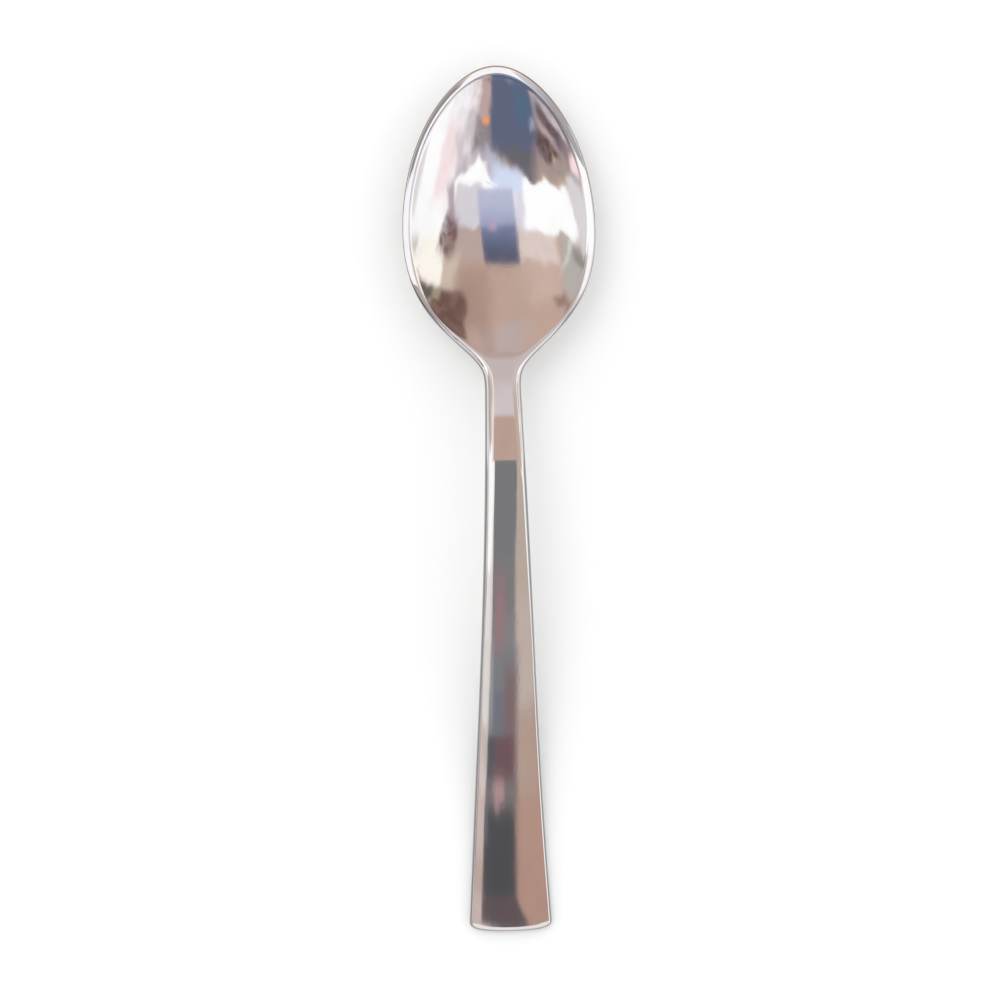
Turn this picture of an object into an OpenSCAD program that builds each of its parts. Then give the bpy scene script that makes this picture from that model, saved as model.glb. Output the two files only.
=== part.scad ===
// Teaspoon, stamped and pressed from one blank of stainless steel.
// The spoon lies on a table at z = 0, with the tip of its bowl towards +Y and its hollow upwards.
// It is drawn as three regions of that one blank, bowl, neck and handle, which meet on flat sections.
// Every place along the spoon is given as a distance from the tip of the bowl.

/* [Overall] */
// Length from the tip of the bowl to the end of the handle
length = 140; // [132:1:150]

/* [Bowl outline] */
// Greatest width across the bowl
bowl_width = 31.1; // [28:0.1:34]
// Tip to the widest place of the bowl
tip_to_widest = 26.7; // [25:0.1:28.5]
// Tip to where the egg-shaped outline would close behind the neck
egg_run = 55.4; // [53:0.1:58]

/* [Bowl hollow] */
// Tip to the deepest place of the bowl
tip_to_deepest = 21.6; // [19:0.1:24]
// Tip to where the hollow has run out in the neck
hollow_run = 54; // [51:0.1:57]
// Width of the ground rim at the tip
rim_at_tip = 1.35; // [0.8:0.05:1.6]
// Width of the ground rim at the sides
rim_at_side = 1.2; // [0.8:0.05:1.5]
// Width of the ground rim at the root, where the bowl runs into the neck
rim_at_root = 0.45; // [0.3:0.05:0.8]
// Height of the rim's outer edge
rim_edge = 0.4; // [0.25:0.05:0.7]
// Rounding of the rim's outer edge
rim_round = 0.28; // [0.15:0.01:0.4]
// Band over which the rim turns down into the hollow
rim_turn = 0.35; // [0.1:0.05:0.6]

/* [Neck] */
// Width of the neck at its narrowest
neck_width = 5.75; // [5:0.05:7]
// Thickness of the neck
neck_thickness = 2.7; // [2.2:0.1:3.2]
// Rounding of the neck's long edges
neck_round = 1.2; // [0.6:0.1:1.5]
// Tip to where the blank starts to thicken towards the neck
root_start = 33; // [30:0.5:36]
// Tip to where the bowl ends and the neck begins
neck_start = 47.5; // [45:0.5:50]
// Tip to where the neck ends and the handle begins
handle_start = 63.8; // [60:0.1:70]

/* [Handle] */
// Width of the handle near its end
end_width = 13.5; // [11:0.1:15]
// Thickness of the handle at its end
end_thickness = 2; // [1.6:0.1:2.6]
// Length of the rounded closing at the end
end_corner = 1.8; // [1:0.1:2.6]
// Rounding of the handle's long edges
handle_round = 0.5; // [0.3:0.05:0.9]
// Width of the sloping shoulder along each long edge
shoulder_width = 1.8; // [1.2:0.1:2.4]
// Fall of the shoulder from the face of the handle to its edge
shoulder_drop = 0.42; // [0.2:0.02:0.6]
// Fall of the gently crowned face from its middle to the edge near the end
crown_drop = 0.18; // [0.05:0.01:0.4]

/* [Side view] */
// The top line is drawn towards these heights, a tenth of the length apart, from the tip to ahead of the end
// Height of the rim at the tip
tip_height = 6.6; // [5.6:0.1:7.6]
// Height of the rim ahead of the widest place
front_height = 7.1; // [6.1:0.1:8.1]
// Height of the rim at the widest place
side_height = 7.3; // [6.3:0.1:8.3]
// Height of the rim where the bowl narrows
root_height = 7.7; // [6.7:0.1:8.7]
// Height that the neck climbs towards
neck_height = 12.4; // [11.4:0.1:13.6]
// Height at the top of the arch
arch_height = 14.7; // [13.2:0.1:16.4]
// Height of the handle behind the arch
grip_height = 13.1; // [11.8:0.1:14.4]
// Height of the handle at its middle
middle_height = 9.2; // [8.2:0.1:10.2]
// Height of the handle where it comes down to the table
landing_height = 4.2; // [3.6:0.1:4.8]
// Height of the handle where it levels out ahead of its end
level_height = 1.9; // [1.8:0.1:2.1]

/* [Table] */
// Depth to which the resting places are worn flat
rest_wear = 0.05; // [0.03:0.01:0.1]

/* [Hidden] */

// Shape of the egg outline: how fast it closes, and how full it is before and behind the middle
egg_shares = [4, -1.05, 4.685];
// Shape of the hollow along the spoon: how fast it runs out, and how full it is
hollow_shares = [3, 2];
// How much squarer than a bowl of revolution the hollow is at its deepest
square_share = 0.25;
// How closely the outline follows the larger of bowl and stem where they run together
blend_share = 2.76;
// How far the stem has taken up its width: from this share of the widest place to this share of the neck's start
stem_shares = [0.7, 0.88];
// How much of the handle's flare is straight
flare_share = 0.586;
// Tip to where the flare starts, as a share from the neck's start to the handle's start
flare_start_share = 0.34;
// Stretch behind the neck's start over which the section has fully turned into the neck's
settle_share = 0.15;
// Stretch of the handle, behind its start, over which it thins and its edges sharpen
thin_share = 0.45;

// Rows along each region, and points across the top of a section
bowl_rows = 44;
neck_rows = 18;
handle_rows = 24;
end_rows = 8;
across = 26;
// Turn over which the bowl's rows are spread, closest at the tip
row_turn = 150;
// Step for measuring a slope
probe = length / 7000;
// Overrun of the block that wears the resting places flat
overrun = length / 28;

colour = "#cdc8c4";
tip_y = length / 2;
flare_start = neck_start + flare_start_share * (handle_start - neck_start);
settled = neck_start + settle_share * (handle_start - neck_start);
thinned = handle_start + thin_share * (length - handle_start);
stem_start = stem_shares[0] * tip_to_widest;
stem_full = stem_shares[1] * neck_start;

function clamp(t) = min(max(t, 0), 1);
function between(a, b, t) = a + (b - a) * t;

// An S-curve from 0 at a to 1 at b, with no step in its curvature
function ease(a, b, d) = let (t = clamp((d - a) / (b - a))) t * t * t * (t * (6 * t - 15) + 10);

// The lower of two heights, with the corner between them rounded over a band
function lower(a, b, band) = let (h = max(band - abs(a - b), 0) / band) min(a, b) - h * h * h * band / 6;

// Half width of the egg-shaped bowl
function egg(d) =
    let (
        t = clamp(d / egg_run),
        w = tip_to_widest / egg_run,
        close = egg_shares[0],
        full = egg_shares[1],
        rear = egg_shares[2],
        lean = close / (1 - w) - 1 / (2 * w) - 2 * full * w - 3 * rear * w * w
    )
    bowl_width / 2 * sqrt(t / w) * pow((1 - t) / (1 - w), close)
    * exp(lean * (t - w) + full * (t * t - w * w) + rear * (pow(t, 3) - pow(w, 3)));

// Half width of the stem, which is the neck and the flared handle
function stem(d) =
    let (
        u = clamp((d - flare_start) / (length - flare_start)),
        flare = flare_share * u + (1 - flare_share) * u * u
    )
    between(neck_width, end_width, flare) / 2 * ease(stem_start, stem_full, d);

// Share of the width that is left where the end closes
function closing(d) = let (v = clamp((d - length + end_corner) / end_corner)) pow(1 - pow(v, 3), 1 / 3);

// Half width of the whole outline, and its square
function half_width(d) = pow(pow(egg(d), blend_share) + pow(stem(d), blend_share), 1 / blend_share) * closing(d);
function square_width(d) = d <= 0 || d >= length ? 0 : pow(half_width(d), 2);

// The top line: one smooth curve drawn towards heights at even steps
end_height = (3 * (end_thickness - rest_wear) - level_height) / 2;
line_heights = [
    2 * tip_height - front_height, tip_height, front_height, side_height, root_height, neck_height, arch_height,
    grip_height, middle_height, landing_height, level_height, end_height, level_height, landing_height
];
line_step = length / (len(line_heights) - 4);
function pull(v) = let (a = abs(v)) a < 1 ? (4 - 6 * a * a + 3 * a * a * a) / 6 : a < 2 ? pow(2 - a, 3) / 6 : 0;
function top_line(d) =
    let (u = d / line_step, i = min(floor(u), len(line_heights) - 4))
    line_heights[i] * pull(u - i + 1) + line_heights[i + 1] * pull(u - i)
    + line_heights[i + 2] * pull(u - i - 1) + line_heights[i + 3] * pull(u - i - 2);

// Depth of the bowl along the spoon: 0 at the tip, 1 at the deepest place, 0 where it has run out
function hollow(d) =
    let (
        t = clamp(d / hollow_run),
        w = tip_to_deepest / hollow_run,
        close = hollow_shares[0],
        full = hollow_shares[1],
        lean = close / (1 - w) - 1 / w - 2 * full * w
    )
    t / w * pow((1 - t) / (1 - w), close) * exp(lean * (t - w) + full * (t * t - w * w));

// Edge thickness, edge rounding and rim width along the spoon
function turned(d) = ease(root_start, settled, d);
function thinning(d) = ease(handle_start, thinned, d);
function thickness(d) =
    between(rim_edge, neck_thickness, turned(d)) - (neck_thickness - end_thickness) * ease(neck_start, length, d);
function rounding(d) = between(rim_round, neck_round, turned(d)) - (neck_round - handle_round) * thinning(d);
function rim(d) =
    between(rim_at_tip, rim_at_side, ease(0, tip_to_widest, d))
    - (rim_at_side - rim_at_root) * ease(tip_to_widest, neck_start, d);

outer_depth = top_line(tip_to_deepest) - rim_edge + rest_wear;

// Depth of the outer face below its own edge
function dish(d, x) =
    let (
        q = max(square_width(max(d, probe)), probe * probe),
        h = hollow(max(d, probe)),
        s = x * x / q
    )
    outer_depth * h * (1 - s) * (1 + square_share * h * s);

// Highest and lowest point of the steel at one place: [top, underside]
function faces(d, x) =
    let (
        q = square_width(d),
        slope_q = (square_width(d + probe) - square_width(d - probe)) / (2 * probe),
        reach = 2 * sqrt(q + slope_q * slope_q / 4),
        edge = max(q - x * x, 0) / reach,
        line = top_line(d),
        depth = dish(d, x),
        slope_x = (dish(d, x + probe) - depth) / probe,
        slope_d = (dish(d + probe, x) - depth) / probe,
        h = hollow(d),
        rim_slope = outer_depth * h * (1 + square_share * h) * reach / max(q, probe * probe),
        wall = (thickness(d) + rim_slope * rim(d)) / sqrt(1 + rim_slope * rim_slope),
        outer = line - thickness(d) - depth,
        inner = outer + wall * sqrt(1 + slope_x * slope_x + slope_d * slope_d),
        shoulder = shoulder_drop * pow(1 - min(edge / shoulder_width, 1), 3),
        crown = crown_drop * 4 * x * x / (end_width * end_width),
        upper = lower(line, inner, rim_turn) - turned(d) * (shoulder + crown),
        middle = (upper + outer) / 2,
        nose = sqrt(1 - pow(1 - min(edge / rounding(d), 1), 2))
    )
    [between(middle, upper, nose), between(middle, outer, nose)];

// Places of the rows along the spoon
bowl_places = [for (i = [0 : bowl_rows]) neck_start * (1 - cos(row_turn * i / bowl_rows)) / (1 - cos(row_turn))];
neck_places = [for (i = [0 : neck_rows]) between(neck_start, handle_start, i / neck_rows)];
handle_places = [
    for (i = [0 : handle_rows]) between(handle_start, length - end_corner, i / handle_rows),
    for (i = [1 : end_rows]) length - end_corner + end_corner * pow(sin(90 * i / end_rows), 2 / 3)
];

// One closed section: across the top from left to right, then back along the underside
function section(d) =
    let (w = sqrt(square_width(d)), xs = [for (j = [0 : across]) w * sin(180 * j / across - 90)])
    w == 0 ? [[0, tip_y - d, faces(d, 0)[0]]] : concat(
        [for (x = xs) [x, tip_y - d, faces(d, x)[0]]],
        [for (j = [across - 1 : -1 : 1]) [xs[j], tip_y - d, faces(d, xs[j])[1]]]
    );

// Triangles between two sections, either of which may be a single point
function skin(a, count_a, b, count_b) =
    count_a == 1 ? [for (k = [0 : count_b - 1]) [a, b + (k + 1) % count_b, b + k]]
    : count_b == 1 ? [for (k = [0 : count_a - 1]) [a + k, a + (k + 1) % count_a, b]]
    : [for (k = [0 : count_a - 1], half = [0, 1]) let (n = (k + 1) % count_a)
        half == 0 ? [a + k, a + n, b + n] : [a + k, b + n, b + k]];

// Triangles that close a section, from the strip between its top and its underside
function cap(a, turn) =
    [for (j = [0 : across - 1], half = [0, 1])
        let (
            low = j == 0 ? a : a + 2 * across - j,
            low_next = j == across - 1 ? a + across : a + 2 * across - j - 1,
            flat = half == 0 ? [a + j, low_next, a + j + 1] : [a + j, low, low_next]
        )
        if (flat[0] != flat[1] && flat[1] != flat[2] && flat[0] != flat[2])
            turn ? [flat[2], flat[1], flat[0]] : flat];

// A closed solid through the sections at the given places
module loft(places) {
    rings = [for (d = places) section(d)];
    starts = [for (i = 0, n = 0; i < len(rings); n = n + len(rings[i]), i = i + 1) n];
    last = len(rings) - 1;
    walls = [for (i = [0 : last - 1]) each skin(starts[i], len(rings[i]), starts[i + 1], len(rings[i + 1]))];
    front = len(rings[0]) == 1 ? [] : cap(starts[0], false);
    back = len(rings[last]) == 1 ? [] : cap(starts[last], true);
    polyhedron([for (ring = rings) each ring], concat(walls, front, back), convexity = 6);
}

// Everything below the table, which wears the resting places flat
module below_table() {
    translate([-bowl_width, -tip_y - overrun, -overrun])
        cube([2 * bowl_width, length + 2 * overrun, overrun]);
}

// The pressed bowl with its ground rim, resting on its heel
module bowl() {
    color(colour)
        difference() {
            loft(bowl_places);
            below_table();
        }
}

// The thick, rounded neck that climbs from the bowl
module neck() {
    color(colour)
        loft(neck_places);
}

// The flared handle, resting on its end
module handle() {
    color(colour)
        difference() {
            loft(handle_places);
            below_table();
        }
}

bowl();
neck();
handle();
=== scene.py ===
import bmesh
import bpy
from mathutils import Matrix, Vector


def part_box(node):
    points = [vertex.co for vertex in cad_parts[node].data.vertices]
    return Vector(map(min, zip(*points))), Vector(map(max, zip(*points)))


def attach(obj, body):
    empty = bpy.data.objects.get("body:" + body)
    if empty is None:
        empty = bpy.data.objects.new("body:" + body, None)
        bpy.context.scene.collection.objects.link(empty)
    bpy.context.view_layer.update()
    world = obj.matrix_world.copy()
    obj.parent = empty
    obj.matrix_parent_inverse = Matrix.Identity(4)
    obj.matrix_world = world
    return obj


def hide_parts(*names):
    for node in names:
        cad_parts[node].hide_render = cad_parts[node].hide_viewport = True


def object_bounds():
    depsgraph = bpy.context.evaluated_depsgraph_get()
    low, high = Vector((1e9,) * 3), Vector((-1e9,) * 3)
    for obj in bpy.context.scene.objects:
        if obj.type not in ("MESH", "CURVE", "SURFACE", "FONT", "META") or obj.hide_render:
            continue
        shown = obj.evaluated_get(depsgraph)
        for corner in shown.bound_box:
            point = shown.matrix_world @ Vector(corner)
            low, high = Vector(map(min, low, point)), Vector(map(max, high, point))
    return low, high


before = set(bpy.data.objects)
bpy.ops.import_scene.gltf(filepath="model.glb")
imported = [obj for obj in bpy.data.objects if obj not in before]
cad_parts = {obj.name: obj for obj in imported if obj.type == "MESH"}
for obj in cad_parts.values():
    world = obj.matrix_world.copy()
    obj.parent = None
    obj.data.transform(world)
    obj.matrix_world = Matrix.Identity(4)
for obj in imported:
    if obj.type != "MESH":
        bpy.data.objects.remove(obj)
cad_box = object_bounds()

# Bowl
# The pressed bowl of the spoon: stainless steel rolled thin, pressed to an egg-shaped hollow,
# ground level round its rim and polished. It runs into the neck without a seam.


class Term:
    """A socket of a node tree. Arithmetic on it adds Math nodes."""

    def __init__(self, tree, socket):
        self.tree = tree
        self.socket = socket

    def node(self, kind, values=(), **settings):
        """Adds a node, sets it up, then gives its inputs numbers or links. Returns the node."""
        made = self.tree.nodes.new(kind)
        for name, value in settings.items():
            setattr(made, name, value)
        for key, value in dict(values).items():
            if isinstance(value, Term):
                self.tree.links.new(value.socket, made.inputs[key])
            else:
                made.inputs[key].default_value = value
        return made

    def maths(self, operation, *others):
        made = self.node("ShaderNodeMath", enumerate((self,) + others), operation=operation)
        return Term(self.tree, made.outputs[0])

    def __add__(self, other):
        return self.maths("ADD", other)

    def __sub__(self, other):
        return self.maths("SUBTRACT", other)

    def __mul__(self, other):
        return self.maths("MULTIPLY", other)

    def __truediv__(self, other):
        return self.maths("DIVIDE", other)

    def __rsub__(self, other):
        return (self * -1.0) + other

    def __rtruediv__(self, other):
        return self.maths("POWER", -1.0) * other

    __radd__ = __add__
    __rmul__ = __mul__

    def __pow__(self, other):
        return self.maths("POWER", other)

    def below(self, other):
        return self.maths("MINIMUM", other)

    def above(self, other):
        return self.maths("MAXIMUM", other)

    def clamp(self):
        return self.below(1.0).above(0.0)

    def size(self):
        return self.maths("ABSOLUTE")

    def exp(self):
        return self.maths("EXPONENT")

    def root(self):
        return self.above(0.0).maths("SQRT")

    def ease(self, start, end):
        """An S-curve from 0 at start to 1 at end, with no step in its curvature."""
        t = ((self - start) / (end - start)).clamp()
        return t * t * t * (t * (t * 6.0 - 15.0) + 10.0)


# Sizes in metres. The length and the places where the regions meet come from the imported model.
tip_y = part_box("bowl")[1][1]
BLANK = {
    "Length": tip_y - cad_box[0][1],
    "Bowl width": 0.0311,
    "Tip to widest": 0.0267,
    "Egg run": 0.0554,
    "Tip to deepest": 0.0216,
    "Hollow run": 0.054,
    "Rim at tip": 0.00135,
    "Rim at side": 0.0012,
    "Rim at root": 0.00045,
    "Rim edge": 0.0004,
    "Rim round": 0.00028,
    "Rim turn": 0.00035,
    "Neck width": 0.00575,
    "Neck thickness": 0.0027,
    "Neck round": 0.0012,
    "Root start": 0.033,
    "Neck start": tip_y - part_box("bowl")[0][1],
    "Handle start": tip_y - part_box("neck")[0][1],
    "End width": 0.0135,
    "End thickness": 0.002,
    "End corner": 0.0018,
    "Handle round": 0.0005,
    "Shoulder width": 0.0018,
    "Shoulder drop": 0.00042,
    "Crown drop": 0.00018,
    "Rest wear": 0.00005,
    "Tip height": 0.0066,
    "Front height": 0.0071,
    "Side height": 0.0073,
    "Root height": 0.0077,
    "Neck height": 0.0124,
    "Arch height": 0.0147,
    "Grip height": 0.0131,
    "Middle height": 0.0092,
    "Landing height": 0.0042,
    "Level height": 0.0019,
}

# Shares that shape the blank, the same as in the construction
EGG_CLOSE, EGG_FULL, EGG_REAR = 4.0, -1.05, 4.685
HOLLOW_CLOSE, HOLLOW_FULL = 3.0, 2.0
SQUARE_SHARE = 0.25
BLEND_SHARE = 2.76
STEM_START_SHARE, STEM_FULL_SHARE = 0.7, 0.88
FLARE_SHARE, FLARE_START_SHARE = 0.586, 0.34
SETTLE_SHARE, THIN_SHARE = 0.15, 0.45

# Step over which slopes are measured
PROBE = BLANK["Length"] / 7000
PI = 3.14159265


class Blank:
    """The spoon's shape as sums over a node tree, for any distance d from the tip."""

    def __init__(self, tree, size):
        self.tree = tree
        self.size = size

    def length(self):
        return self.size["Length"]

    def part_way(self, start, end, share):
        """The distance at a share of the way from one named place to another."""
        return self.size[start] + share * (self.size[end] - self.size[start])

    def egg(self, d):
        """Half width of the egg-shaped bowl."""
        t = (d / self.size["Egg run"]).clamp()
        w = self.size["Tip to widest"] / self.size["Egg run"]
        lean = EGG_CLOSE / (1.0 - w) - 0.5 / w - 2.0 * EGG_FULL * w - 3.0 * EGG_REAR * w * w
        full = lean * (t - w) + EGG_FULL * (t * t - w * w) + EGG_REAR * (t ** 3.0 - w ** 3.0)
        closing = ((1.0 - t) / (1.0 - w)) ** EGG_CLOSE
        return 0.5 * self.size["Bowl width"] * (t / w).root() * closing * full.exp()

    def stem(self, d):
        """Half width of the neck and the flared handle."""
        flare_start = self.part_way("Neck start", "Handle start", FLARE_START_SHARE)
        u = ((d - flare_start) / (self.length() - flare_start)).clamp()
        flare = FLARE_SHARE * u + (1.0 - FLARE_SHARE) * u * u
        width = self.part_way("Neck width", "End width", flare)
        start = STEM_START_SHARE * self.size["Tip to widest"]
        return 0.5 * width * d.ease(start, STEM_FULL_SHARE * self.size["Neck start"])

    def square_width(self, d):
        """Square of the outline's half width."""
        v = ((d - self.length() + self.size["End corner"]) / self.size["End corner"]).clamp()
        closing = (1.0 - v ** 3.0).above(0.0) ** (2.0 / 3.0)
        return (self.egg(d) ** BLEND_SHARE + self.stem(d) ** BLEND_SHARE) ** (2.0 / BLEND_SHARE) * closing

    def top_line(self, d):
        """One smooth curve along the spoon, drawn towards heights at even steps."""
        names = ["Tip", "Front", "Side", "Root", "Neck", "Arch", "Grip", "Middle", "Landing", "Level"]
        heights = [self.size[name + " height"] for name in names]
        end = (3.0 * (self.size["End thickness"] - self.size["Rest wear"]) - heights[-1]) / 2.0
        heights = [2.0 * heights[0] - heights[1]] + heights + [end, heights[-1], heights[-2]]
        u = d / (self.length() / (len(heights) - 4.0))
        total = 0.0
        for i, height in enumerate(heights):
            a = (u - (i - 1.0)).size()
            near = (4.0 - 6.0 * a * a + 3.0 * a * a * a) / 6.0
            far = (2.0 - a).above(0.0) ** 3.0 / 6.0
            close = a.maths("LESS_THAN", 1.0)
            total = height * (close * near + (1.0 - close) * far) + total
        return total

    def hollow(self, d):
        """Depth of the bowl along the spoon, from 0 at the tip to 1 at the deepest place and back."""
        t = (d / self.size["Hollow run"]).clamp()
        w = self.size["Tip to deepest"] / self.size["Hollow run"]
        lean = HOLLOW_CLOSE / (1.0 - w) - 1.0 / w - 2.0 * HOLLOW_FULL * w
        full = lean * (t - w) + HOLLOW_FULL * (t * t - w * w)
        return t / w * ((1.0 - t) / (1.0 - w)) ** HOLLOW_CLOSE * full.exp()

    def worked_out(self, formula, **places):
        """The result of one of the formula trees below, fed with this tree's own sizes."""
        node = self.tree.nodes.new("GeometryNodeGroup")
        node.node_tree = formula
        for socket in node.inputs:
            term = places[socket.name] if socket.name in places else self.size[socket.name]
            self.tree.links.new(term.socket, socket)
        return Term(self.tree, node.outputs[0])

    def dish(self, d, x):
        """Depth of the outer face below its own edge."""
        q = self.worked_out(OUTLINE, Distance=d.above(PROBE)).above(PROBE * PROBE)
        h = self.hollow(d.above(PROBE))
        s = x * x / q
        return self.size["Outer depth"] * h * (1.0 - s) * (1.0 + SQUARE_SHARE * h * s)

    def faces(self, d, q, x, inside):
        """Heights of the top and the underside; inside is 1 on the middle line and 0 on the outline."""
        size = self.size
        wider = self.worked_out(OUTLINE, Distance=d + PROBE)
        slope_q = (wider - self.worked_out(OUTLINE, Distance=d - PROBE)) / (2.0 * PROBE)
        reach = 2.0 * (q + slope_q * slope_q / 4.0).root()
        edge = q * inside / reach
        turned = d.ease(size["Root start"], self.part_way("Neck start", "Handle start", SETTLE_SHARE))
        thinning = d.ease(size["Handle start"], self.part_way("Handle start", "Length", THIN_SHARE))
        thinned = (size["Neck thickness"] - size["End thickness"]) * d.ease(size["Neck start"], self.length())
        thickness = self.part_way("Rim edge", "Neck thickness", turned) - thinned
        rounding = self.part_way("Rim round", "Neck round", turned)
        rounding = rounding - (size["Neck round"] - size["Handle round"]) * thinning
        rim = self.part_way("Rim at tip", "Rim at side", (d / size["Tip to widest"]).ease(0.0, 1.0))
        fading = d.ease(size["Tip to widest"], size["Neck start"])
        rim = rim - (size["Rim at side"] - size["Rim at root"]) * fading
        line = self.worked_out(TOP_LINE, Distance=d)
        deepest = self.worked_out(TOP_LINE, Distance=size["Tip to deepest"])
        size["Outer depth"] = deepest - size["Rim edge"] + size["Rest wear"]
        depth = self.worked_out(DISH, Distance=d, Across=x)
        slope_x = (self.worked_out(DISH, Distance=d, Across=x + PROBE) - depth) / PROBE
        slope_d = (self.worked_out(DISH, Distance=d + PROBE, Across=x) - depth) / PROBE
        h = self.hollow(d)
        rim_slope = size["Outer depth"] * h * (1.0 + SQUARE_SHARE * h) * reach / q.above(PROBE * PROBE)
        wall = (thickness + rim_slope * rim) / (1.0 + rim_slope * rim_slope).root()
        outer = line - thickness - depth
        inner = outer + wall * (1.0 + slope_x * slope_x + slope_d * slope_d).root()
        corner = ((size["Rim turn"] - (line - inner).size()).above(0.0)) / size["Rim turn"]
        lower = line.below(inner) - corner * corner * corner * size["Rim turn"] / 6.0
        shoulder = size["Shoulder drop"] * (1.0 - (edge / size["Shoulder width"]).below(1.0)) ** 3.0
        crown = size["Crown drop"] * 4.0 * x * x / (size["End width"] * size["End width"])
        upper = lower - turned * (shoulder + crown)
        middle = (upper + outer) / 2.0
        full = 1.0 - (edge / rounding).below(1.0)
        nose = (1.0 - full * full).root()
        return middle + (upper - middle) * nose, middle + (outer - middle) * nose


def input_tree(name, inputs):
    """An empty node tree with a number input for each name, and its inputs as terms."""
    tree = bpy.data.node_groups.new(name, "GeometryNodeTree")
    for title in inputs:
        tree.interface.new_socket(title, in_out="INPUT", socket_type="NodeSocketFloat")
    source = tree.nodes.new("NodeGroupInput")
    return tree, {title: Term(tree, source.outputs[title]) for title in inputs}


def formula_tree(name, places, formula):
    """A node tree that works out one formula of the blank at the given places."""
    tree, given = input_tree(name, places + list(BLANK) + ["Outer depth"])
    tree.interface.new_socket("Result", in_out="OUTPUT", socket_type="NodeSocketFloat")
    result = formula(Blank(tree, given), *[given[place] for place in places])
    out = tree.nodes.new("NodeGroupOutput")
    tree.links.new(result.socket, out.inputs[0])
    unused = [title for title, term in given.items() if not term.socket.is_linked]
    for item in [item for item in tree.interface.items_tree if item.name in unused]:
        tree.interface.remove(item)
    return tree


OUTLINE = formula_tree("outline", ["Distance"], Blank.square_width)
TOP_LINE = formula_tree("top_line", ["Distance"], Blank.top_line)
DISH = formula_tree("dish", ["Distance", "Across"], Blank.dish)


MERGED_WITHIN = 5e-8


def blank_tree():
    """A loft from one distance along the spoon to another: a grid wrapped round each section.

    The grid is 2 across, 1 for the top face and 1 for the underside, and 1 along.
    """
    tree, given = input_tree("pressed_blank", list(BLANK) + ["From", "To", "Crowd at start", "Crowd at end"])
    face = tree.interface
    for name in ["Rows", "Round"]:
        face.new_socket(name, in_out="INPUT", socket_type="NodeSocketInt")
    face.new_socket("Steel", in_out="INPUT", socket_type="NodeSocketMaterial")
    face.new_socket("Geometry", in_out="OUTPUT", socket_type="NodeSocketGeometry")
    counts = tree.nodes.new("NodeGroupInput")
    start = given["From"]
    span = given["To"] - start
    at_start = given["Crowd at start"]
    at_end = given["Crowd at end"]

    grid = start.node(
        "GeometryNodeMeshGrid",
        {
            "Size X": 2.0, "Size Y": 1.0,
            "Vertices X": Term(tree, counts.outputs["Round"]),
            "Vertices Y": Term(tree, counts.outputs["Rows"]),
        },
    )
    place = start.node("GeometryNodeInputPosition")
    split = start.node("ShaderNodeSeparateXYZ", {0: Term(tree, place.outputs[0])})
    u = Term(tree, split.outputs["X"]) + 1.0
    v = (Term(tree, split.outputs["Y"]) + 0.5).clamp()
    from_start = 1.0 - (v * (PI / 2)).maths("COSINE")
    to_end = (v * (PI / 2)).maths("SINE")
    d = start + span * (v * (1.0 - at_start - at_end) + at_start * from_start + at_end * to_end)
    turn = (u - 0.5) * PI
    inside = turn.maths("COSINE") ** 2.0
    blank = Blank(tree, given)
    q = blank.worked_out(OUTLINE, Distance=d)
    x = turn.maths("SINE") * q.root()
    upper, under = blank.faces(d, q, x, inside)
    below = u.maths("GREATER_THAN", 1.0)
    z = (upper + (under - upper) * below).above(0.0)
    point = start.node("ShaderNodeCombineXYZ", {"X": x, "Y": tip_y - d, "Z": z})
    moved = start.node(
        "GeometryNodeSetPosition",
        {"Geometry": Term(tree, grid.outputs["Mesh"]), "Position": Term(tree, point.outputs[0])},
    )
    merged = start.node(
        "GeometryNodeMergeByDistance", {0: Term(tree, moved.outputs[0]), "Distance": MERGED_WITHIN}
    )
    smooth = start.node("GeometryNodeSetShadeSmooth", {0: Term(tree, merged.outputs[0])})
    real = start.node("GeometryNodeRealizeInstances", {0: Term(tree, smooth.outputs[0])})
    finish = start.node(
        "GeometryNodeSetMaterial",
        {"Geometry": Term(tree, real.outputs[0]), "Material": Term(tree, counts.outputs["Steel"])},
    )
    out = tree.nodes.new("NodeGroupOutput")
    tree.links.new(finish.outputs[0], out.inputs[0])
    return tree


# Colour of the steel where it is polished, smudged or scratched, and the painted dark reflection along its
# ground edge
STEEL = (0.74, 0.72, 0.70)
WORN_STEEL = (0.68, 0.66, 0.645)
# The edge's near-black grey is painted shade, far darker than steel. It stands in for the dark outline that
# the rounded edge shows because it mirrors the shaded table beside it.
PAINTED_DARK_EDGE = (0.235, 0.235, 0.24)

# Roughness of the polish, and what each mark adds to it
POLISHED, SMUDGED, SCRATCHED, GROUND = 0.07, 0.03, 0.05, 0.1

# Marks to the metre, across the mark and along it, and their turns from the spoon's length
POLISHING_LINES = (2600.0, 60.0)
HAIRLINES, HAIRLINE_TURNS = (2100.0, 110.0), (0.5, -0.9, 1.4)
SMUDGES, SMUDGE_TURN = (150.0, 90.0), 0.3

# Where the noise is strong enough to leave a mark, how much each mark tints the steel, and how deep
# the marks are
HAIRLINE_FROM, HAIRLINE_CONTRAST = 0.71, 9.0
SMUDGE_EDGES = (0.42, 0.7)
SMUDGE_TINT, HAIRLINE_TINT = 0.6, 0.4
HAIRLINE_RELIEF = -0.6
RELIEF_STRENGTH, RELIEF_DEPTH = 0.12, 0.00002


def stretched_noise(place, marks, turn, detail):
    """Noise drawn out along the spoon, or along a direction turned from it."""
    across, along = marks
    turned = place.node("ShaderNodeMapping", {"Vector": place, "Rotation": (0.0, 0.0, turn)})
    scale = (across, along, across)
    drawn = place.node("ShaderNodeMapping", {"Vector": Term(place.tree, turned.outputs[0]), "Scale": scale})
    noise = place.node(
        "ShaderNodeTexNoise", {"Vector": Term(place.tree, drawn.outputs[0]), "Scale": 1.0, "Detail": detail}
    )
    return Term(place.tree, noise.outputs[0])


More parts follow.
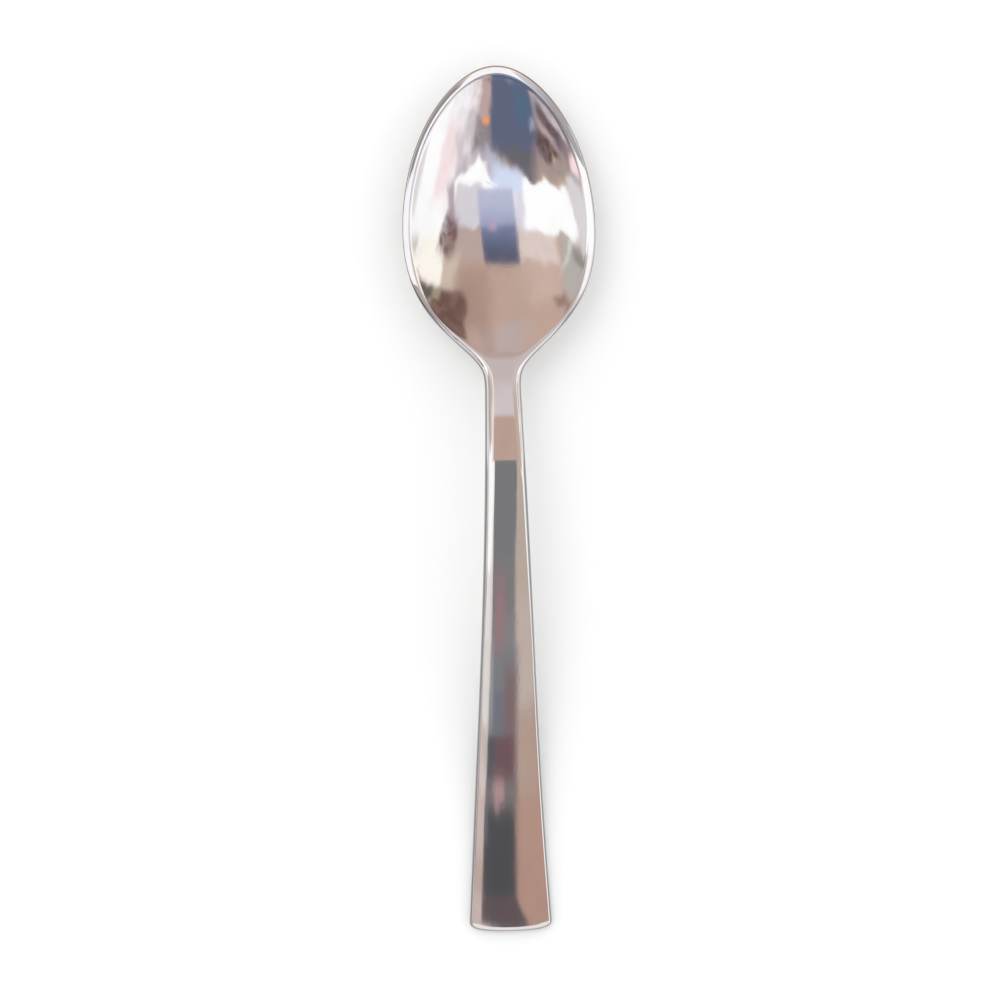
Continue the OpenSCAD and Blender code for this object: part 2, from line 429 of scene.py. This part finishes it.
# Along the spoon, in metres: where the tip's and the end's edges face lengthways, where the bowl's
# and the neck's edges begin, and how sharply one turns into the next, to the metre
TIP_EDGE_FROM, END_EDGE_FROM = 0.045, -0.066
BOWL_EDGE_FROM, NECK_EDGE_FROM = 0.026, 0.004
TIP_TURN, SIDE_TURN, PART_TURN = 100.0, 500.0, 300.0

# The edge is what faces outwards this much, up no more than this and not far down. It is narrower
# than that everywhere, wider on the bowl and narrower again on the neck.
EDGE_OUTWARD, EDGE_LEVEL, EDGE_UNDER = (0.1, 0.3), (0.64, 0.84), (-0.6, -0.3)
NARROWER, BOWL_WIDER, NECK_NARROWER = 0.1, 0.23, 0.1


def ground_and_painted_dark_edge_mask(place, facing):
    """Where the surface turns over its outer edge, which is ground and duller than the polish, and where a
    dark outline is painted as the reflection of the shade beside it.
    """
    x, y, _ = [Term(place.tree, output) for output in place.node("ShaderNodeSeparateXYZ", {0: place}).outputs]
    out_x, out_y, up = [
        Term(place.tree, output) for output in facing.node("ShaderNodeSeparateXYZ", {0: facing}).outputs
    ]
    sideways = (x * SIDE_TURN).above(-1.0).below(1.0)
    tipwards = ((y - TIP_EDGE_FROM) * TIP_TURN).clamp() - ((y - END_EDGE_FROM) * -SIDE_TURN).clamp()
    outward = out_x * sideways + out_y * tipwards
    bowl_part = ((y - BOWL_EDGE_FROM) * PART_TURN).clamp()
    neck_part = ((y - NECK_EDGE_FROM) * PART_TURN).clamp() - bowl_part
    level = up + NARROWER - bowl_part * BOWL_WIDER + neck_part * NECK_NARROWER
    return outward.ease(*EDGE_OUTWARD) * (1.0 - level.ease(*EDGE_LEVEL)) * up.ease(*EDGE_UNDER)


def steel_material():
    """Mirror-polished stainless steel: bright, faintly warm, with polishing lines, hairlines and smudges, and
    a painted dark reflection along its outer edge.
    """
    made = bpy.data.materials.new("polished_steel")
    made.use_nodes = True
    tree = made.node_tree
    shader = tree.nodes["Principled BSDF"]
    coordinates = tree.nodes.new("ShaderNodeTexCoord")
    place = Term(tree, coordinates.outputs["Object"])
    facing = Term(tree, coordinates.outputs["Normal"])
    polish = stretched_noise(place, POLISHING_LINES, turn=0.0, detail=2.0)
    hairlines = 0.0
    for turn in HAIRLINE_TURNS:
        found = stretched_noise(place, HAIRLINES, turn, detail=1.0)
        hairlines = ((found - HAIRLINE_FROM) * HAIRLINE_CONTRAST).clamp() + hairlines
    smudge = stretched_noise(place, SMUDGES, SMUDGE_TURN, detail=3.0).ease(*SMUDGE_EDGES)
    worn = smudge * SMUDGE_TINT + hairlines.below(1.0) * HAIRLINE_TINT
    tint = place.node(
        "ShaderNodeMix", {0: worn, 6: STEEL + (1.0,), 7: WORN_STEEL + (1.0,)}, data_type="RGBA"
    )
    # The ground edge is made rougher, and its colour is painted dark as a stand-in for the shade that it
    # mirrors.
    edge = ground_and_painted_dark_edge_mask(place, facing)
    tint_and_painted_dark_edge = place.node(
        "ShaderNodeMix", {0: edge, 6: Term(tree, tint.outputs[2]), 7: PAINTED_DARK_EDGE + (1.0,)}, data_type="RGBA"
    )
    tree.links.new(tint_and_painted_dark_edge.outputs[2], shader.inputs["Base Color"])
    shader.inputs["Metallic"].default_value = 1.0
    roughness = POLISHED + smudge * SMUDGED + hairlines.below(1.0) * SCRATCHED + edge * GROUND
    tree.links.new(roughness.socket, shader.inputs["Roughness"])
    relief = place.node(
        "ShaderNodeBump",
        {
            "Height": polish + hairlines * HAIRLINE_RELIEF,
            "Strength": RELIEF_STRENGTH, "Distance": RELIEF_DEPTH,
        },
    )
    tree.links.new(relief.outputs[0], shader.inputs["Normal"])
    return made


def skin(name, start, end, rows, crowd_start, crowd_end):
    """The open skin of one region of the blank, as a plain mesh. Its rows may crowd towards an end."""
    holder = bpy.data.objects.new(name, bpy.data.meshes.new(name))
    bpy.context.collection.objects.link(holder)
    loft = holder.modifiers.new("loft", "NODES")
    loft.node_group = blank
    given = dict(BLANK)
    given.update({"From": start, "To": end, "Rows": rows, "Round": AROUND})
    given.update({"Crowd at start": crowd_start, "Crowd at end": crowd_end, "Steel": steel})
    for item in blank.interface.items_tree:
        if item.item_type == "SOCKET" and item.in_out == "INPUT" and item.name in given:
            loft[item.identifier] = given[item.name]
    depsgraph = bpy.context.evaluated_depsgraph_get()
    made = bpy.data.meshes.new_from_object(holder.evaluated_get(depsgraph))
    made.materials.clear()
    made.materials.append(steel)
    made.polygons.foreach_set("material_index", [0] * len(made.polygons))
    holder.modifiers.clear()
    holder.data = made
    return holder


# Points round each section, the same in all three regions so that they meet
AROUND = 257
BOWL_ROWS = 200
steel = steel_material()
blank = blank_tree()
bowl = skin("teaspoon_bowl", 0.0, BLANK["Neck start"], BOWL_ROWS, crowd_start=1.0, crowd_end=0.0)

# Neck
# The thick part of the same blank between bowl and handle, forged narrow and rounded along its edges.
# It carries on from the bowl's root and into the handle's face with no joint.
NECK_ROWS = 70
neck = skin(
    "teaspoon_neck", BLANK["Neck start"], BLANK["Handle start"], NECK_ROWS, crowd_start=0.0, crowd_end=0.0
)

# Handle
# The rest of the blank: a long flared handle with a gently crowned face, sloping shoulders and
# a nearly square end. Its edges are tumbled round in polishing.
HANDLE_ROWS = 180
handle = skin(
    "teaspoon_handle", BLANK["Handle start"], BLANK["Length"], HANDLE_ROWS, crowd_start=0.0, crowd_end=1.0
)


def key(point):
    """A place to a tenth of a micron, by which two regions find the points that they share."""
    return tuple(round(value * 1e7) for value in point)


def shared_normals(pieces):
    """Gives every region the normals of the whole blank, so that no seam shows, and closes its sections."""
    total = {}
    for piece in pieces:
        for vertex, normal in zip(piece.data.vertices, piece.data.vertex_normals):
            total[key(vertex.co)] = total.get(key(vertex.co), Vector()) + normal.vector
    for piece in pieces:
        shell = bmesh.new()
        shell.from_mesh(piece.data)
        rims = [edge for edge in shell.edges if edge.is_boundary]
        if rims:
            bmesh.ops.holes_fill(shell, edges=rims)
        bmesh.ops.triangulate(shell, faces=[face for face in shell.faces if len(face.verts) > 4])
        shell.to_mesh(piece.data)
        shell.free()
        normals = [total[key(vertex.co)].normalized() for vertex in piece.data.vertices]
        piece.data.normals_split_custom_set_from_vertices(normals)


# The three regions are handed over together, once they share their normals
shared_normals([bowl, neck, handle])
for piece, node in ((bowl, "bowl"), (neck, "neck"), (handle, "handle")):
    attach(piece, "root")
    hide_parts(node)

# Table
# A plain pale table top, matt and 6 m across, which carries on well behind the spoon. The spoon
# rests on it and leaves a soft shadow.
REACH = 3.0
TABLE_GREY, TABLE_ROUGHNESS = 0.95, 0.9
table_mesh = bpy.data.meshes.new("table_top")
table_mesh.from_pydata(
    [(-REACH, -REACH, 0), (REACH, -REACH, 0), (REACH, REACH, 0), (-REACH, REACH, 0)], [], [(0, 1, 2, 3)]
)
table = bpy.data.objects.new("table_top", table_mesh)
bpy.context.collection.objects.link(table)
pale = bpy.data.materials.new("pale_table")
pale.use_nodes = True
matt = pale.node_tree.nodes["Principled BSDF"].inputs
matt["Base Color"].default_value = (TABLE_GREY, TABLE_GREY, TABLE_GREY, 1.0)
matt["Roughness"].default_value = TABLE_ROUGHNESS
matt["Specular IOR Level"].default_value = 0.0
table_mesh.materials.append(pale)

# Room
# What the polished steel mirrors: warm walls, white windows on both sides and a dark grey-blue
# backdrop, as soft fields on a dome and on low cards. They show in the steel and nowhere else.


def shown(code):
    """The light that the steel mirrors as this screen colour, written as six hex digits.

    The other numbers are those of the curve that screens use.
    """
    screen = [int(code[i:i + 2], 16) / 255 for i in (0, 2, 4)]
    linear = [value / 12.92 if value < 0.04 else ((value + 0.055) / 1.055) ** 2.4 for value in screen]
    return tuple(value / metal for value, metal in zip(linear, STEEL)) + (1.0,)


EIGHTH_ROOT = 0.125
PATCH_SCALE, PATCH_EDGES = 2.2, (0.38, 0.62)


def painted(surface, ground, fields):
    """Fields of colour laid over a ground, one over another.

    A field is a rectangle with well rounded corners: its colour, its middle x and y, its half sizes,
    how soft its edge is, its turn in degrees, and how far patches of what lies under it show through.
    """
    tree = surface.tree
    colour = surface.node("ShaderNodeMix", {0: 0.0, 6: shown(ground), 7: shown(ground)}, data_type="RGBA")
    for code, x, y, half_x, half_y, soft, turn, broken in fields:
        local = surface.node(
            "ShaderNodeMapping",
            {
                "Vector": surface, "Location": (x, y, 0.0), "Rotation": (0.0, 0.0, turn * PI / 180),
                "Scale": (half_x, half_y, 1.0),
            },
            vector_type="TEXTURE",
        )
        power = local
        for _ in range(2):
            power = surface.node(
                "ShaderNodeVectorMath",
                {0: Term(tree, power.outputs[0]), 1: Term(tree, power.outputs[0])}, operation="MULTIPLY",
            )
        total = surface.node(
            "ShaderNodeVectorMath",
            {0: Term(tree, power.outputs[0]), 1: Term(tree, power.outputs[0])}, operation="DOT_PRODUCT",
        )
        mask = 1.0 - (Term(tree, total.outputs["Value"]) ** EIGHTH_ROOT).ease(1.0 - soft, 1.0 + soft)
        if broken:
            patches = surface.node(
                "ShaderNodeTexNoise",
                {"Vector": Term(tree, local.outputs[0]), "Scale": PATCH_SCALE, "Detail": 1.0},
            )
            mask = mask * (1.0 - broken * Term(tree, patches.outputs[0]).ease(*PATCH_EDGES))
        colour = surface.node(
            "ShaderNodeMix", {0: mask, 6: Term(tree, colour.outputs[2]), 7: shown(code)}, data_type="RGBA"
        )
    return Term(tree, colour.outputs[2])


def glowing(name):
    """An empty material, its tree and the place of a point on what wears it."""
    made = bpy.data.materials.new(name)
    made.use_nodes = True
    tree = made.node_tree
    tree.nodes.clear()
    coordinates = tree.nodes.new("ShaderNodeTexCoord")
    return made, tree, Term(tree, coordinates.outputs["Object"])


def only_mirrored(name, mesh, material, tree, colour):
    """Makes the mesh a piece of the room that glows in the colour, in the steel and nowhere else."""
    light = colour.node("ShaderNodeEmission", {"Color": colour, "Strength": 1.0})
    out = tree.nodes.new("ShaderNodeOutputMaterial")
    tree.links.new(light.outputs[0], out.inputs["Surface"])
    mesh.materials.append(material)
    made = bpy.data.objects.new(name, mesh)
    bpy.context.collection.objects.link(made)
    made.visible_camera = False
    made.visible_diffuse = False
    made.visible_shadow = False


DOME_RADIUS = 1.5
DOME_GROUND = "bfa496"

# Fields on the dome, their places and half sizes in degrees from straight up, x to the right and
# y towards the tip of the bowl
DOME_FIELDS = [
    # Warm wall beyond the tip, with its darker corner to the right
    ("bba9a6", 6, 61, 20, 3.6, 0.6, 0, 0),
    ("c9afa3", -28, 40, 14, 9, 0.7, 0, 0),
    ("ae9084", 20, 50, 11, 13, 0.6, 0, 0),
    ("b8a39d", 25, 27, 14, 8, 0.25, 0, 0),
    ("ccbbae", 40, 37, 6, 6, 0.6, -20, 0),
    ("6d534c", 50, 56, 22, 16, 0.08, -14, 0.15),
    ("aba6a4", 61, 57, 8, 14, 0.4, 10, 0),
    ("9c917c", 51, 41.5, 4.5, 3.5, 0.6, -14, 0),
    ("5f5c54", 60, 40.5, 5, 3, 0.7, -14, 0),
    # Cream wall to the right
    ("fbf5eb", 63, 26, 18, 10, 0.14, -12, 0),
    ("c3bfb6", 78, 21, 4, 5, 0.9, 0, 0),
    # Grey panel to the left, with a pale line across it and a brown spot beside it
    ("b4aea9", -62, 37, 15, 14, 0.25, -20, 0),
    ("8f8f89", -66, 28, 4.5, 3.5, 0.7, 0, 0),
    ("d6d2cd", -59, 27.5, 16, 1.0, 0.7, 36, 0),
    ("977e75", -41, 50, 5, 2.6, 0.9, 20, 0),
    # Pale ceiling near straight up
    ("ddccc6", -28, 27, 17, 7.5, 0.3, 0, 0.15),
    ("dcd9e4", -15, 9, 9, 12, 0.4, 0, 0),
    ("fbf6f7", 2, 12, 13, 8, 0.3, 0, 0),
    # White and pink windows to the right, with greyer streaks between them and the backdrop
    ("fefdfd", 74, -14, 34, 34, 0.12, 0, 0),
    ("b7abb1", 20, -9, 26, 13, 0.35, 0, 0),
    ("ece5e9", 46, -32, 20, 22, 0.5, 0, 0.5),
    ("f4dfe2", 59, -9, 9, 17, 0.5, -8, 0.2),
    ("d3c7cb", 44, -12, 4.5, 9, 0.6, 20, 0),
    ("c9c0c4", 33, -25, 9, 7, 0.6, 0, 0.5),
    # Mottled wall to the left: grey, crossed by pale and dark slanting streaks
    ("d8d4d8", -79, 10, 7, 17, 0.4, 0, 0),
    ("94848a", -62, -22, 26, 20, 0.2, 0, 0),
    ("b4b0b4", -62, -44, 16, 8, 0.5, 20, 0),
    ("cfc2c3", -72, -28, 2.5, 15, 0.6, 50, 0.3),
    ("5f5056", -63, -27, 3.2, 15, 0.5, 50, 0.3),
    ("c0aaa4", -62, -19, 2, 13, 0.6, 50, 0.3),
    ("5d4947", -57, -14, 6, 13, 0.45, 62, 0.4),
    ("cba996", -63, -9, 2, 3, 0.9, 50, 0),
    ("a8978f", -58, -5, 22, 4.5, 0.5, 0, 0.3),
    ("fae0e6", -86, -8, 5, 4, 0.5, 0, 0),
    # Dark grey-blue backdrop on the handle's side, its grey and dusky pink edges, and an orange spot
    ("8d8488", 19, -20, 10, 8, 0.4, -10, 0.2),
    ("b9b8c6", 6, -9, 9, 3.5, 0.6, -20, 0),
    ("bda2a2", 19, -43, 7, 15, 0.2, 4, 0),
    ("68666d", -17, -14, 22, 9.8, 0.4, -20, 0),
    ("5e657d", -18, -36, 28.5, 22, 0.16, 4, 0),
    ("576a84", -34, -36, 10, 9, 0.7, 0, 0),
    ("86848f", -6, -54, 30, 5, 0.5, 0, 0),
    ("a6a9c0", -43.5, -26, 3.4, 2.4, 0.9, 0, 0),
    ("eea16b", 14.2, -27.5, 4.4, 1.8, 0.8, 0, 0),
    # Pale blue overhead, and a white gable of two slopes to its right
    ("d3def6", -7, 1, 15, 5.5, 0.6, -8, 0),
    ("ffffff", 32, -0.5, 12.5, 4, 0.2, 28.6, 0),
    ("ffffff", 14, -0.1, 12.7, 4, 0.25, -30.6, 0),
    ("ffffff", 22, -2, 9, 5.5, 0.3, 0, 0),
    # Pale lilac panel to the right, with a dark edge and a brown spot
    ("d8d2d9", 28, 11.5, 13, 10, 0.13, 0, 0),
    ("b5a6ad", 46, 10, 3.2, 9, 0.6, 24, 0),
    ("765d60", 46, 22, 8, 7, 0.35, -22, 0.35),
    # White window to the left
    ("fefefe", -46, 11.8, 25.5, 10.8, 0.1, -3, 0),
]

# Noise that pulls the fields' outlines this many degrees out of true
UNEVEN_SCALE, UNEVEN_DEGREES = 0.06, 13.0
MIDDLE_OF_NOISE = (0.5, 0.5, 0.5)
NEARLY_NONE = 0.00001
dome_paint, dome_tree, dome_place = glowing("room_dome")
ahead = dome_place.node("ShaderNodeVectorMath", {0: dome_place}, operation="NORMALIZE")
split = dome_place.node("ShaderNodeSeparateXYZ", {0: Term(dome_tree, ahead.outputs[0])})
east, north, up = [Term(dome_tree, output) for output in split.outputs]
spread = up.maths("ARCCOSINE") * (180 / PI) / (east * east + north * north).root().above(NEARLY_NONE)
flat = dome_place.node("ShaderNodeCombineXYZ", {"X": east * spread, "Y": north * spread})
uneven = dome_place.node(
    "ShaderNodeTexNoise", {"Vector": Term(dome_tree, flat.outputs[0]), "Scale": UNEVEN_SCALE, "Detail": 2.0}
)
pull = dome_place.node(
    "ShaderNodeVectorMath", {0: Term(dome_tree, uneven.outputs[1]), 1: MIDDLE_OF_NOISE}, operation="SUBTRACT"
)
bent = dome_place.node(
    "ShaderNodeVectorMath",
    {
        0: Term(dome_tree, pull.outputs[0]), 1: (UNEVEN_DEGREES, UNEVEN_DEGREES, 0.0),
        2: Term(dome_tree, flat.outputs[0]),
    },
    operation="MULTIPLY_ADD",
)
dome_shell = bmesh.new()
bmesh.ops.create_uvsphere(dome_shell, u_segments=96, v_segments=48, radius=DOME_RADIUS)
dome_mesh = bpy.data.meshes.new("room_dome")
dome_shell.to_mesh(dome_mesh)
dome_shell.free()
dome_colour = painted(Term(dome_tree, bent.outputs[0]), DOME_GROUND, DOME_FIELDS)
only_mirrored("room_dome", dome_mesh, dome_paint, dome_tree, dome_colour)


def card(name, corners, height, ground, fields):
    """A flat card over the spoon, painted with fields; all its lengths are in millimetres."""
    mesh = bpy.data.meshes.new(name)
    corners = [(x / 1000, y / 1000, height / 1000) for x, y in corners]
    mesh.from_pydata(corners, [], [tuple(range(len(corners)))])
    paint, tree, place = glowing(name)
    flat = place.node("ShaderNodeVectorMath", {0: place, 1: (1000.0, 1000.0, 0.0)}, operation="MULTIPLY")
    only_mirrored(name, mesh, paint, tree, painted(Term(tree, flat.outputs[0]), ground, fields))


# What the handle mirrors: a warm wall to the right, a pale one to the left, a dark strip between
# them that carries on down the handle, and a pale band beyond its end
card(
    "handle_card", corners=[(-60, -220), (60, -220), (60, 11.5), (-60, 11.5)], height=30,
    ground="b5a79c",
    fields=[
        # The warm wall and the pale one
        ("bcaca4", 30, -40, 40, 16, 0.4, 0, 0),
        ("b0988c", 30, -60, 40, 7, 0.6, 0, 0),
        ("b18f82", 30, -70, 40, 9, 0.15, 0, 0),
        ("fcfbf9", -34, 0, 30, 20, 0.2, 0, 0),
        ("e6e1de", -34, -28, 30, 10, 0.2, 0, 0),
        ("dbd6d2", -34, -46, 30, 11, 0.2, 0, 0),
        ("c5b8b5", -34, -58, 30, 2.2, 0.4, 0, 0),
        ("d3c6c3", -34, -60, 30, 0.9, 0.4, 0, 0),
        ("c8b5af", -34, -63, 30, 2, 0.3, 0, 0),
        ("bda8a2", -34, -66, 30, 1.6, 0.4, 0, 0),
        ("c7b3ae", -34, -74, 30, 6.4, 0.1, 0, 0),
        # The strip, its start slanting outwards, and its bluer, redder and darker lengths
        ("77777a", -0.7, -30, 3.15, 60, 0.14, 0, 0),
        ("7b7979", 1.5, -14, 0.9, 22, 0.8, 0, 0),
        ("77777a", 1.6, 3.9, 2.5, 9, 0.14, -15, 0),
        ("77777a", 0.5, -6, 2.5, 8.5, 0.14, -6, 0),
        ("827f81", -0.5, -34, 3.1, 6, 0.4, 0, 0),
        ("7b7c80", -0.6, -44, 3.7, 7, 0.4, 0, 0),
        ("94787d", -1.0, -28, 1.3, 9, 0.9, 0, 0),
        ("70747a", -0.9, -53.5, 3.9, 5, 0.4, 0, 0),
        ("7d686a", 1.9, -52, 1.4, 9, 0.8, 0, 0),
        ("929397", -3.3, -46, 0.9, 10, 0.6, 0, 0),
        ("6d5458", -0.9, -58.9, 3.8, 1.9, 0.35, 0, 0),
        ("53565e", -3.5, -59, 1.5, 1.8, 0.6, 0, 0),
        ("7c7576", -1.3, -60.8, 4.5, 0.8, 0.3, 0, 0),
        ("b19194", -1.1, -60.7, 1.3, 0.65, 0.4, 0, 0),
        ("4d4e51", -1.65, -65.3, 4.6, 3.8, 0.2, 0, 0),
        ("686a70", -5.2, -62.5, 1.2, 1.1, 0.6, 0, 0),
        ("a98c8f", -1.6, -61.4, 0.5, 0.4, 0.6, 0, 0),
        ("5f5257", -1.75, -70.7, 4.65, 2.0, 0.25, 0, 0),
        ("5f5356", 1.6, -72.4, 3, 3.2, 0.2, 36, 0),
        # The pale band
        ("ebe5e2", 0, -150, 80, 75.5, 0.008, 0, 0),
    ],
)

# A lilac column that turns slate grey, which the middle of the bowl mirrors upside down
card(
    "column_card", corners=[(-7.4, 67.8), (8.4, 67.8), (13.0, 53), (-6.6, 53)], height=45,
    ground="b7bad3",
    fields=[
        ("a3a7c3", 2, 64, 14, 6, 0.5, 0, 0),
        ("717b9b", 2, 67.1, 14, 6.4, 0.12, 3, 0),
        ("4f566b", 2, 72, 14, 8, 0.45, 0, 0),
        ("b7a0ba", 4.5, 60.8, 2, 0.9, 0.6, 0, 0),
    ],
)

# A white card close over the right rim
card(
    "right_rim_card", corners=[(11.5, 40), (16, 40), (16, 62), (11.5, 62)], height=11.5,
    ground="fdfcfc", fields=[],
)

# Grey strips closer still over the level rim, in millimetres: the side, the width, the start and
# the end along the spoon, the ground and the fields. Each overhangs the bowl's outline a little,
# reaches in by its width and tapers at both ends.
STRIP_HEIGHT, STRIP_OVERHANG = 8.4, 0.3
ROOT_TAPER, TIP_TAPER = 5.0, 1.5
RIM_MIDDLE = Vector((0, 45))
half_widths = {}
for vertex in bowl.data.vertices:
    row = round(vertex.co.y * 1000, 4)
    half_widths[row] = max(half_widths.get(row, 0.0), vertex.co.x * 1000)
for name, side, width, low, high, ground, fields in (
    ("tip_left_strip", -1, 0.6, 49, 69.0, "8f8c8b", [("c9c5c6", 0, 70, 9, 2.5, 0.5, 0, 0)]),
    ("tip_right_strip", 1, 1.1, 52.5, 69.5, "a5a2a4", [("cbc9ce", 0, 70, 7, 6, 0.7, 0, 0)]),
    ("root_left_strip", -1, 1.3, 24, 35, "a39f9d", []),
):
    outer = [Vector((side * x, y)) for y, x in sorted(half_widths.items()) if low < y < high]
    inner = []
    for point in outer:
        taper = min(1.0, (point.y - low) / ROOT_TAPER, (high - point.y) / TIP_TAPER)
        outwards = (point - RIM_MIDDLE).normalized()
        inner.insert(0, point - width * taper * outwards)
        point += STRIP_OVERHANG * taper * outwards
    card(name, [tuple(point) for point in outer + inner], STRIP_HEIGHT, ground, fields)

# What the neck and the bowl's root mirror: a pale lilac-grey wall with warm ones before and behind
# it, and a lower warm card to the right of the neck
card(
    "neck_card", corners=[(-7, 7.9), (7, 7.9), (7, 44.5), (-7, 44.5)], height=20,
    ground="cec4c5",
    fields=[
        ("c0b3b2", 0, 33, 14, 8, 0.5, 0, 0),
        ("b59f9b", 0, 46, 14, 6, 0.5, 0, 0),
        ("b99f93", 0, 11, 14, 6.6, 0.12, 0, 0),
        ("ebe5e2", -7, 20, 2.6, 30, 0.5, 0, 0),
    ],
)
card(
    "neck_side_card", corners=[(3.8, 6), (15, 6), (15, 34), (3.2, 34)], height=16.5,
    ground="c0aa9f",
    fields=[("c6b9b9", 8, 34, 14, 14, 0.4, 0, 0)],
)

# An even white world and one soft lamp from the left light the table, and the steel mirrors neither
world = bpy.data.worlds.new("room")
bpy.context.scene.world = world
world.use_nodes = True
world.node_tree.nodes["Background"].inputs["Color"].default_value = (1.0, 1.0, 1.0, 1.0)
world.node_tree.nodes["Background"].inputs["Strength"].default_value = 1.0
lamp_data = bpy.data.lights.new("soft_lamp", "AREA")
lamp_data.shape = "DISK"
lamp_data.size = 0.5
lamp_data.energy = 1.1
lamp = bpy.data.objects.new("soft_lamp", lamp_data)
lamp.location = (-0.35, 0.25, 0.8)
lamp.rotation_euler = (-Vector(lamp.location)).to_track_quat("-Z", "Y").to_euler()
lamp.visible_glossy = False
bpy.context.collection.objects.link(lamp)

# Camera
# The photograph's view: 0.4 m above the table and almost straight down, from a little to the left
# of the spoon and towards its handle.
camera_data = bpy.data.cameras.new("photo_view")
camera = bpy.data.objects.new("photo_view", camera_data)
bpy.context.collection.objects.link(camera)
camera_data.lens = 88.29
camera.location = (-0.01939, -0.01059, 0.4)
camera.rotation_euler = (0.02733, -0.04698, -0.01974)
bpy.context.scene.camera = camera
bpy.context.scene.view_settings.view_transform = "Standard"
